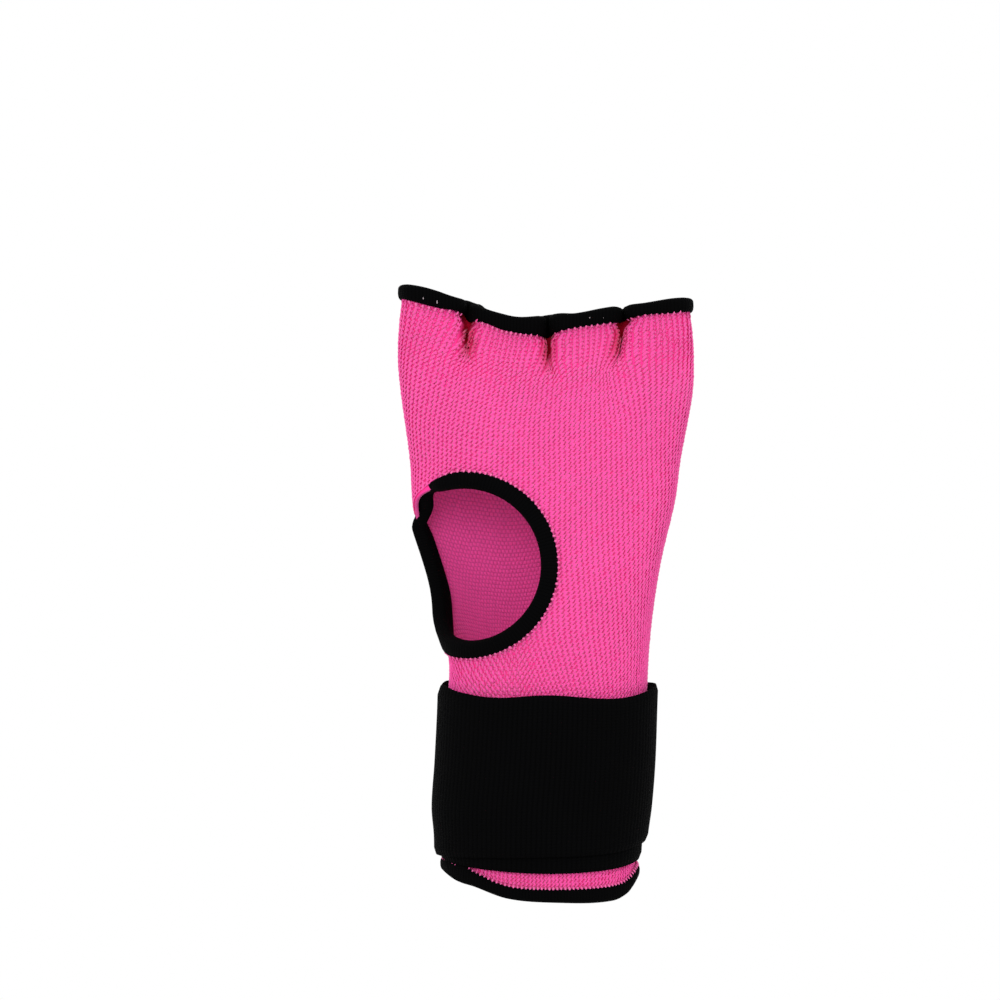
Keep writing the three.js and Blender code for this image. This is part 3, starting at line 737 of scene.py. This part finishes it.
def under_strap(way_round, z, margin):
    """Whether the strap covers a place, with that much to spare."""
    turn = way_round / 2
    covered = np.zeros(np.shape(z), bool)
    for lap in (0, 1, 2):
        at = turn - np.floor(turn) + lap - 1
        low = in_table(strap_rows, 1, at) + margin
        high = in_table(strap_rows, 2, at) - margin
        on_strap = (at > strap_rows[0, 0]) & (at < strap_rows[-1, 0])
        covered |= on_strap & (z > low) & (z < high)
    return covered


wale_index = np.tile(np.arange(WALES), COURSES)
course_index = np.repeat(np.arange(COURSES), WALES)
stitch_wale = wale_index + 0.5
stitch_height = (course_index + 0.5) / COURSES
place, across, up, normal = knit_frame(stitch_wale, stitch_height)
hem, finger = edge_heights(stitch_wale)
z = place[:, 2]
way = wale_round(stitch_wale, z)
way = np.where(way > 1.5, way - 2, way)
_, from_hole = hole_size(along_of(way, z), z)
from_hole = np.where((z < ABOVE_HOLE + 2) & (way < 1), from_hole, 99)
from_middle = (along_of(way, z) - THUMB_ALONG) / THUMB_BACK_REACH
hole_angle = np.arctan2((z - THUMB_HEIGHT) / THUMB_TALL, from_middle)
UNDER_TAPE = 0.7  # how far under a tape's edge the stitches still go on
UNDER_CUFF_TAPE = 0.9
hole_cover = (THUMB_LAP - UNDER_TAPE) * (1 - rolled_under(hole_angle))
shown = (z - hem > CUFF_LAP - UNDER_CUFF_TAPE) & (finger - z > FINGER_LAP - UNDER_TAPE)
shown &= from_hole > hole_cover
shown &= ~under_strap(way, z, UNDER_STRAP)
PULLED_WALES = (20, 34)  # below the thumb hole the knit is pulled up to here
PULLED_HEIGHTS = (82, 96)
EDGE_PULL = 0.8  # at the finger openings, and how far below them
EDGE_PULL_FADE = (8, 26)
below_hole = (1 - eased(way * HALF_ROUND, *PULLED_WALES)) * (1 - eased(z, *PULLED_HEIGHTS)) * (way < 1)
pulled = np.maximum(EDGE_PULL * (1 - eased(finger - z, *EDGE_PULL_FADE)), below_hole)[:, None]
# the shade painted into the folds, kept on each stitch; where it is deepest the stitches are left out
folds = fold_shade(place, finger - z)
BARE_FOLD = 0.75  # a fold darker than this shows only the ground
shown &= folds < BARE_FOLD
YARN = {"size": 0.0007, "unevenness": 0.16, "height": 0.00012, "sheen": 0.35, "specular": 0.25}
stitch_pink = textile("pink_yarn", PINK, folded=FOLD_SHADE_CRIMSON, **YARN)
generator = np.random.default_rng(7)
WALE_UNEVEN = 0.045  # of a wale, and so on for the rest of a stitch's unevenness
COURSE_UNEVEN = 0.05
HEIGHT_UNEVEN = 0.03
WIDTH_UNEVEN = 0.15
WALE_SPACING = 1.5  # mm between wales, where a leg has its own width
quarters = (
    ("stitches_palm_thumb_side", 0, 33),
    ("stitches_palm_little_side", 33, 65),
    ("stitches_back_little_side", 65, 98),
    ("stitches_back_thumb_side", 98, 130),
)
for name, first, last in quarters:
    chosen = np.flatnonzero(shown & (wale_index >= first) & (wale_index < last))
    wale_step = across[chosen]
    course_step = up[chosen]
    parts = []
    for slack, tight in leg_rows:
        uneven = generator.normal(0, 1, (4, len(chosen), 1))
        aside = WALE_UNEVEN * uneven[0]
        above = COURSE_UNEVEN * uneven[1]
        share = pulled[chosen]
        leg = [share * tight[k] + (1 - share) * slack[k] for k in range(7)]
        start = place[chosen] + wale_step * (leg[0] + aside) + course_step * (leg[1] + above)
        end = place[chosen] + wale_step * (leg[2] + aside) + course_step * (leg[3] + above)
        centre = (start + end) / 2 + normal[chosen] * (leg[4] + HEIGHT_UNEVEN * uneven[2])
        axis = end - start
        length = np.linalg.norm(axis, axis=1, keepdims=True)
        spacing = np.minimum(np.linalg.norm(wale_step, axis=1, keepdims=True) / WALE_SPACING, 1.4)
        half_wide = leg[5] * (0.45 + 0.55 * spacing) * (1 + WIDTH_UNEVEN * uneven[3])
        sizes = np.concatenate([half_wide, leg[6], length * 0.5], axis=1)
        parts.append((centre, axis, normal[chosen], sizes, folds[chosen]))
    joined = [np.concatenate(group) for group in zip(*parts)]
    piece = yarn_piece(name, *joined, stitch_pink, LEG_BOW)

# The tape is a soft black knitted binding, folded over each of the three cut edges and sewn through, so its
# lower edges press into the pink knit, which swells up round them.
SLOT = 1.25  # from the fabric's middle to the tape's inside
FACE = 2.25  # to the tape's outside
TAPE_COLUMNS = 520

# Fine ribs of knitted tape and woven elastic: a height, and shade painted into the grooves between the ribs
ribs_values = {"Rib": 0.9, "Thread": 0.6, "Groove shade": 0.6}
ribs_group, ribs_in, ribs_out = node_group("fine_ribs", ribs_values, ["Height", "Tone"])
ribs_split = node(ribs_group, "ShaderNodeSeparateXYZ", {0: ribs_in["Place"]}).outputs
ribs_turn = maths(ribs_group, "DIVIDE", math.pi, ribs_in["Rib"])
ribs_thread = maths(ribs_group, "DIVIDE", math.pi, ribs_in["Thread"])
ribs_across = waves(ribs_group, ribs_split["X"], ribs_turn, 0.7)
ribs_along = waves(ribs_group, ribs_split["Y"], ribs_thread, 0.5)
ribs_height = maths(ribs_group, "ADD", ribs_across, maths(ribs_group, "MULTIPLY", ribs_along, 0.35))
ribs_look = {"Value": ribs_height, "From Max": 1.2, "To Min": ribs_in["Groove shade"], "To Max": 1.0}
ribs_groove_shade = node(ribs_group, "ShaderNodeMapRange", ribs_look).outputs["Result"]
put_out(ribs_group, ribs_out, Height=ribs_height, Tone=ribs_groove_shade)

BLACK = (0.0013, 0.0013, 0.0015)
tape_pattern = (ribs_group, "tape_map", {"Rib": 0.9, "Thread": 0.5, "Groove shade": 0.5}, 0.00025)
tape_black = textile("black_binding_tape", BLACK, size=0.0004, pattern=tape_pattern)


def tape_section(lap):
    """Out from the fabric's middle and up past its edge, round a folded tape."""
    outside = [
        (SLOT + 0.12, -lap), (SLOT + 0.5, -lap + 0.08), (FACE - 0.24, -lap + 0.36),
        (FACE - 0.05, -lap + 0.85), (FACE + 0.05, -lap * 0.4), (FACE, 0.2), (FACE - 0.15, 0.75),
        (FACE - 0.55, 1.15), (FACE - 1.2, 1.4), (0, BINDING_LIP),
    ]
    inside = [(-out, up) for out, up in outside[-2::-1]]
    slot = [(-SLOT, -lap), (-SLOT, -lap / 2), (-SLOT, 0.3), (SLOT, 0.3), (SLOT, -lap / 2), (SLOT, -lap)]
    return np.array(outside + inside + slot)


def ring_piece(name, rings, material, along, map_name, closed=True):
    """A closed piece from rings of points, each a section. along is the distance of each ring."""
    count, sides = rings.shape[:2]
    spans = count if closed else count - 1
    ring = np.repeat(np.arange(spans), sides)
    side = np.tile(np.arange(sides), spans)
    after = (ring + 1) % count
    beside = (side + 1) % sides
    near = ring * sides
    far = after * sides
    faces = np.stack([near + side, far + side, far + beside, near + beside], axis=1)
    piece = mesh_piece(name, rings.reshape(-1, 3), faces, [material])
    round_section = length_along(rings[0])
    round_section = np.append(round_section, round_section[-1] + 0.5)
    corner_side = np.stack([side, side, side + 1, side + 1], axis=1)
    corner_ring = np.stack([ring, ring + 1, ring + 1, ring], axis=1)
    own = np.stack([round_section[corner_side], along[corner_ring]], axis=-1)
    piece.data.uv_layers.new(name=map_name).data.foreach_set("uv", own[..., ::-1].reshape(-1))
    bake = np.stack([round_section[corner_side] / round_section[-1], corner_ring / count], axis=-1)
    piece.data.uv_layers.new(name="OFBake").data.foreach_set("uv", bake.reshape(-1))
    return piece


def outwards(piece):
    """Turns the faces over if they point in."""
    mesh = piece.data
    corners = np.array([vertex.co for vertex in mesh.vertices])
    mesh.calc_loop_triangles()
    a, b, c = (corners[k] for k in np.array([triangle.vertices for triangle in mesh.loop_triangles]).T)
    if (a * np.cross(b, c)).sum() < 0:
        mesh.flip_normals()


# across, how much more the tape laps over the knit there, how much higher it stands; on the palm side
finger_tape_rows = np.array([
    (-40.6, 0.0, 0.0), (-35.4, 0.8, 0.1), (-30.7, 0.8, 0.0), (-25.6, 0.0, 0.0), (-21.4, 1.1, 0.9),
    (-17, 0.0, 0.0), (-11.7, 0.6, 0.0), (-7, 0.7, 0.0), (-2.2, 1.1, 0.5), (2.4, 1.6, 1.1),
    (6, 0.5, 0.8), (10, 0.0, 0.2), (19, 0.1, 0.5), (23.2, 0.1, 0.3), (24.1, 0.0, -0.9),
    (25, 0.0, 0.2), (31, -0.6, 0.1), (38, 0.0, 0.2), (42.9, 0.0, 0.0),
])
cuff_tape_rows = np.array([
    (-28, 0, 0), (-26, 1.2, 0), (-24, 1.5, 0), (-21.5, 1.9, 0), (-19.7, 1.1, 0), (-16, 0.6, 0),
    (-12, 0.3, 0), (-6, 0, 0.2), (6, 0, 0.5), (20, 0.1, 0.9), (24.3, 0, 0.7), (27, 0, 0),
])


def tape_changes(rows, wale, across):
    """How much more the tape laps over and how much higher it stands, at some wales."""
    on_palm = (wale % WALES < HALF_ROUND).astype(float)
    return (on_palm * in_table(rows, k, across) for k in (1, 2))


def straight_tape(name, at_top, lap):
    """Tape round the finger edge or the hem."""
    wale = np.arange(TAPE_COLUMNS) * WALES / TAPE_COLUMNS
    edge = knit_place(wale, float(at_top))
    step = 0.25
    across = knit_place(wale + step, float(at_top)) - knit_place(wale - step, float(at_top))
    level = level_outwards(across)
    section = tape_section(lap)
    direction = 1 if at_top else -1
    rings = edge[:, None, :] + level[:, None, :] * section[None, :, :1]
    more, higher = tape_changes(finger_tape_rows if at_top else cuff_tape_rows, wale, edge[:, 0])
    up = section[None, :, 1]
    up = np.where(up < 0, up * (1 + more[:, None] / lap), up + higher[:, None] * up / BINDING_LIP)
    rings[..., 2] += direction * up
    gone = length_along(np.concatenate([edge, edge[:1]]))
    piece = ring_piece(name, rings, tape_black, gone, "tape_map")
    outwards(piece)
    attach(piece, "root")
    return piece


finger_tape = straight_tape("finger_tape", True, FINGER_LAP)
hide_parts("finger_binding")
cuff_tape = straight_tape("cuff_tape", False, CUFF_LAP)
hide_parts("cuff_binding")


def thumb_edge(angle, up):
    """Along and height at a distance from the thumb hole's cut edge, towards its middle."""
    reach = np.where(np.cos(angle) < 0, THUMB_PALM_REACH, THUMB_BACK_REACH)
    along = THUMB_ALONG + reach * np.cos(angle)
    z = THUMB_HEIGHT + THUMB_TALL * np.sin(angle)
    ahead_along = -reach * np.sin(angle)
    ahead_z = THUMB_TALL * np.cos(angle)
    length = np.hypot(ahead_along, ahead_z)
    return along - up * ahead_z / length, z + up * ahead_along / length


THUMB_STEPS = 240
thumb_angles = np.linspace(0, 2 * math.pi, THUMB_STEPS, endpoint=False)
section = tape_section(THUMB_LAP)
ROLL_IN = 3.2  # how far in the tape lies where it is rolled in behind the knit
ROLL_BACK = 1.7  # and how far back from the cut edge
ROLL_STARTS = 0.3
ROLL_NARROWS = 0.97
narrower = 1 - ROLL_NARROWS * rolled_under(thumb_angles)[:, None]
roll = eased(rolled_under(thumb_angles), ROLL_STARTS, 1)[:, None]
up = section[None, :, 1]
thumb_up = np.where(up < 0, up * narrower, up) - ROLL_BACK * roll
thumb_along, thumb_z = thumb_edge(thumb_angles[:, None], thumb_up)
thumb_out = section[None, :, 0] - ROLL_IN * roll
thumb_rings = fabric_place(thumb_along, thumb_z) + fabric_normal(thumb_along, thumb_z) * thumb_out[..., None]
CROWN = 9  # the place of the section that stands furthest past the cut edge
gone = length_along(thumb_rings[:, CROWN])
gone = np.append(gone, gone[-1] + 0.8)
thumb_tape = ring_piece("thumb_tape", thumb_rings, tape_black, gone, "tape_map")
outwards(thumb_tape)
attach(thumb_tape, "root")
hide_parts("thumb_binding")

# Where each tape presses into the knit, the last loop of each wale stands up over the tape's edge, a little
# paler than the rest.
TIP_LENGTH = 1.25
TIP_OUT = 1.45
TIP_PITCH = 1.35  # between tips round the thumb hole
THUMB_TAPE_LENGTH = 150
TIP_PAST_TAPE = 0.15
TIP_FROM_ENDS = (1.8, 1.5)
TIP_FROM_TACK = 3.2  # nearer to a tack than this no tip shows
TIP_MOST_LAP = 1.6  # nor where the hem's tape laps over further than this
TIP_LEAN = 0.87  # how far a tip leans out of the fabric for its run along it
tip_pink = textile("pink_yarn_tips", (0.93, 0.14, 0.42), **YARN)
tips = []
for at_top, rows, lap in ((1.0, finger_tape_rows, FINGER_LAP), (0.0, cuff_tape_rows, CUFF_LAP)):
    wale = np.arange(WALES) + 0.5
    more, _ = tape_changes(rows, wale, knit_place(wale, at_top)[:, 0])
    hem, finger = edge_heights(wale)
    from_edge = (lap + more + TIP_PAST_TAPE) / (finger - hem)
    place, _, up, normal = knit_frame(wale, np.where(at_top > 0.5, 1 - from_edge, from_edge))
    up = unit(up) * (1 if at_top > 0.5 else -1)
    if at_top > 0.5:
        from_tack = np.abs(place[:, 0, None] - finger_bounds[1:4]).min(axis=1)
        seen = (from_tack > TIP_FROM_TACK) & (place[:, 0] - finger_bounds[0] > TIP_FROM_ENDS[0])
        seen &= finger_bounds[-1] - place[:, 0] > TIP_FROM_ENDS[1]
    else:
        seen = more < TIP_MOST_LAP
    tips.append((place[seen] + normal[seen] * TIP_OUT, (up + TIP_LEAN * normal)[seen], normal[seen]))
tip_angle = np.linspace(0, 2 * math.pi, int(THUMB_TAPE_LENGTH / TIP_PITCH), endpoint=False)
tip_angle = tip_angle[rolled_under(tip_angle) < ROLL_STARTS]
tip_lap = THUMB_LAP * (1 - rolled_under(tip_angle)) + TIP_PAST_TAPE
near = fabric_place(*thumb_edge(tip_angle, -tip_lap - 0.4))
far = fabric_place(*thumb_edge(tip_angle, -tip_lap + 0.4))
place = (near + far) / 2
inwards = unit(far - near)
normal = fabric_normal(*thumb_edge(tip_angle, -tip_lap))
tips.append((place + normal * TIP_OUT, inwards + TIP_LEAN * normal, normal))
place, axis, normal = (np.concatenate(group) for group in zip(*tips))
uneven = generator.normal(0, 1, (len(place), 1))
size = np.tile([0.38, 0.27, TIP_LENGTH / 2], (len(place), 1)) * (1 + 0.1 * uneven)
edge_loops = yarn_piece("edge_loops", place, axis, normal, size, np.zeros(len(place)), tip_pink, 0.1)

# A few stitches of the sewing thread show on the tape at the finger openings, where it is sewn through.
# Their pale grey is a painted glint on the thread.
# across, height, half length
thread_rows = (
    (-34.8, 177.7, 0.4), (-30.9, 176.6, 0.6), (14.4, 171.9, 0.2), (18.3, 171.9, 0.25), (21.2, 172.3, 0.25),
)
THREAD_GLINT_GREY = (0.5, 0.42, 0.45)
thread_glint = textile(
    "sewing_thread_glint", THREAD_GLINT_GREY, size=0.0005, unevenness=0.1, height=0.00005, sheen=0.2, specular=0.25
)
across, height, long = np.array(thread_rows).T
edge_line = np.array([knit_place(w, 1.0) for w in np.linspace(1, 64, 253)])
nearest = np.abs(edge_line[:, None, 0] - across[None, :]).argmin(axis=0)
place = edge_line[nearest] * [1, 1, 0] + np.stack([0 * across, 0 * across - FACE, height], axis=1)
up = np.tile([0.0, 0.0, 1.0], (len(across), 1))
toward = np.tile([0.0, -1.0, 0.0], (len(across), 1))
size = np.stack([0 * long + 0.15, 0 * long + 0.14, long], axis=1)
thread = yarn_piece("sewing_thread", place, up, toward, size, np.zeros(len(place)), thread_glint, 0.0)

# The strap is a long band of black elastic, about 50 mm wide, wound 1.7 times round the glove. It comes up
# over its own sewn end at the back of the thumb side.
STRAP_WALL = 1.3
LAYER_STEP = 1.6  # from one turn to the next over it
EDGE_WALL = 0.55  # share of the wall left at an edge
EDGE_ROUNDING = 0.9
STRAP_STEPS = 220
STRAP_ROWS = 26
strap_pattern = (ribs_group, "strap_map", {"Rib": 1.5, "Thread": 0.9, "Groove shade": 0.45}, 0.0004)
elastic_black = textile("black_elastic", BLACK, size=0.0005, pattern=strap_pattern)


def band_piece(name, turns, low, high, out, wall, material, map_name):
    """A closed band wound round the glove. low, high and out are its edges and inner face at each turn."""
    share = np.linspace(0, 1, STRAP_ROWS + 1)
    z = low[:, None] + (high - low)[:, None] * share[None, :]
    way = 2 * turns[:, None] + 0 * z
    shift = np.floor(way / 2) * 2
    angle = angle_at(way - shift, z)
    place = tube_place(angle, z)
    ahead, behind = (tube_place(angle_at(way - shift + step, z), z) for step in (0.01, -0.01))
    across = ahead - behind
    level = level_outwards(across)
    from_edge = np.minimum(share, 1 - share) * (high - low).mean()
    rounded = np.sqrt(np.clip(from_edge / EDGE_ROUNDING, 0, 1))
    thick = wall * (EDGE_WALL + (1 - EDGE_WALL) * rounded)
    outer = place + level * (out[:, None, None] + thick[None, :, None])
    inner = place + level * (out[:, None, None] + (wall - thick)[None, :, None] * 0.5)
    rings = np.concatenate([outer, inner[:, ::-1]], axis=1)
    gone = length_along(rings[:, STRAP_ROWS // 2])
    piece = ring_piece(name, rings, material, gone, map_name, closed=False)
    sides = rings.shape[1]
    work = bmesh.new()
    work.from_mesh(piece.data)
    work.verts.ensure_lookup_table()
    for ring in (0, len(turns) - 1):
        for k in range(STRAP_ROWS):
            first = ring * sides + k
            last = ring * sides + sides - 1 - k
            end = (first, first + 1, last - 1, last)
            work.faces.new([work.verts[k] for k in (end if ring == 0 else end[::-1])])
    bmesh.ops.recalc_face_normals(work, faces=work.faces)
    for face in work.faces:
        face.smooth = True
    work.to_mesh(piece.data)
    work.free()
    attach(piece, "root")
    return piece


turns = np.linspace(strap_rows[0, 0], strap_rows[-1, 0], STRAP_STEPS)
strap = band_piece(
    "strap",
    turns,
    in_table(strap_rows, 1, turns),
    in_table(strap_rows, 2, turns),
    SLOT + LAYER_STEP * eased(turns, 0.86, 0.94),
    STRAP_WALL,
    elastic_black,
    "strap_map",
)
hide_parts("wrist_strap")

# The closure is one plain piece of hook tape, sewn over the strap's free end on the back and pressed onto
# the strap beyond it.
tab_pattern = (ribs_group, "tab_map", {"Rib": 1.1, "Thread": 1.1, "Groove shade": 0.4}, 0.0004)
HOOK_BLACK = (0.003, 0.003, 0.0034)
hook_black = textile("black_hook_fabric", HOOK_BLACK, size=0.0003, specular=0.06, pattern=tab_pattern)
TAB_LOW = 18.5
TAB_TOP = 58.5
TAB_STEPS = 60
TAB_WALL = 1.1
turns = np.linspace(1.6, 1.86, TAB_STEPS)
tab = band_piece(
    "tab",
    turns,
    np.full(TAB_STEPS, TAB_LOW),
    np.full(TAB_STEPS, TAB_TOP),
    SLOT + LAYER_STEP * (2 - eased(turns, 1.68, 1.74)),
    TAB_WALL,
    hook_black,
    "tab_map",
)
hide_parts("closure_tab")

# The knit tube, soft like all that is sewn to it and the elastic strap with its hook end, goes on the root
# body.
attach(knit, "root")
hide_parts("knit_sleeve")

# The studio: a white room with a pale round table below the picture, one broad lamp in front and one above.
floor_mesh = bpy.data.meshes.new("floor")
FLOOR_CORNERS = 96
FLOOR_RADIUS = 0.45
FLOOR_HEIGHT = -0.12
floor_angles = np.arange(FLOOR_CORNERS) * 2 * math.pi / FLOOR_CORNERS
floor_round = [(FLOOR_RADIUS * math.cos(a), FLOOR_RADIUS * math.sin(a), FLOOR_HEIGHT) for a in floor_angles]
floor_mesh.from_pydata(floor_round, [], [list(range(FLOOR_CORNERS))])
floor = placed("floor", floor_mesh)
pale, _, pale_shader = new_material("pale_table")
pale_shader.inputs["Base Color"].default_value = (0.88, 0.88, 0.88, 1)
pale_shader.inputs["Roughness"].default_value = 0.9
floor_mesh.materials.append(pale)

world = bpy.data.worlds.new("white_room")
world.use_nodes = True
scene.world = world
room = world.node_tree
room.nodes["Background"].inputs["Strength"].default_value = 0.8
seen = node(room, "ShaderNodeBackground", {"Color": (1, 1, 1, 1), "Strength": 1.0})
room.nodes["Background"].inputs["Color"].default_value = (1, 1, 1, 1)
choice = node(room, "ShaderNodeMixShader", {0: node(room, "ShaderNodeLightPath").outputs["Is Camera Ray"]})
room.links.new(room.nodes["Background"].outputs[0], choice.inputs[1])
room.links.new(seen.outputs[0], choice.inputs[2])
room.links.new(choice.outputs[0], room.nodes["World Output"].inputs["Surface"])


def lamp(name, place, target, size, power):
    light = bpy.data.lights.new(name, "AREA")
    light.shape = "DISK"
    light.size = size
    light.energy = power
    holder = placed(name, light)
    holder.location = place
    away = np.array(place) - np.array(target)
    holder.rotation_euler = (
        math.acos(away[2] / np.linalg.norm(away)),
        0,
        math.atan2(away[1], away[0]) + math.pi / 2,
    )


lamp("front_lamp", (-0.35, -1.3, 0.55), (0, 0, 0.1), 0.7, 6)
lamp("top_lamp", (0.2, -0.3, 1.2), (0, 0, 0.1), 0.6, 3)

camera_data = bpy.data.cameras.new("camera")
camera_data.lens = 120
camera_data.sensor_width = 36
camera = placed("camera", camera_data)
camera.location = (-0.0123, -1.0, 0.118)
camera.rotation_euler = (math.pi / 2, 0, 0)
scene.camera = camera
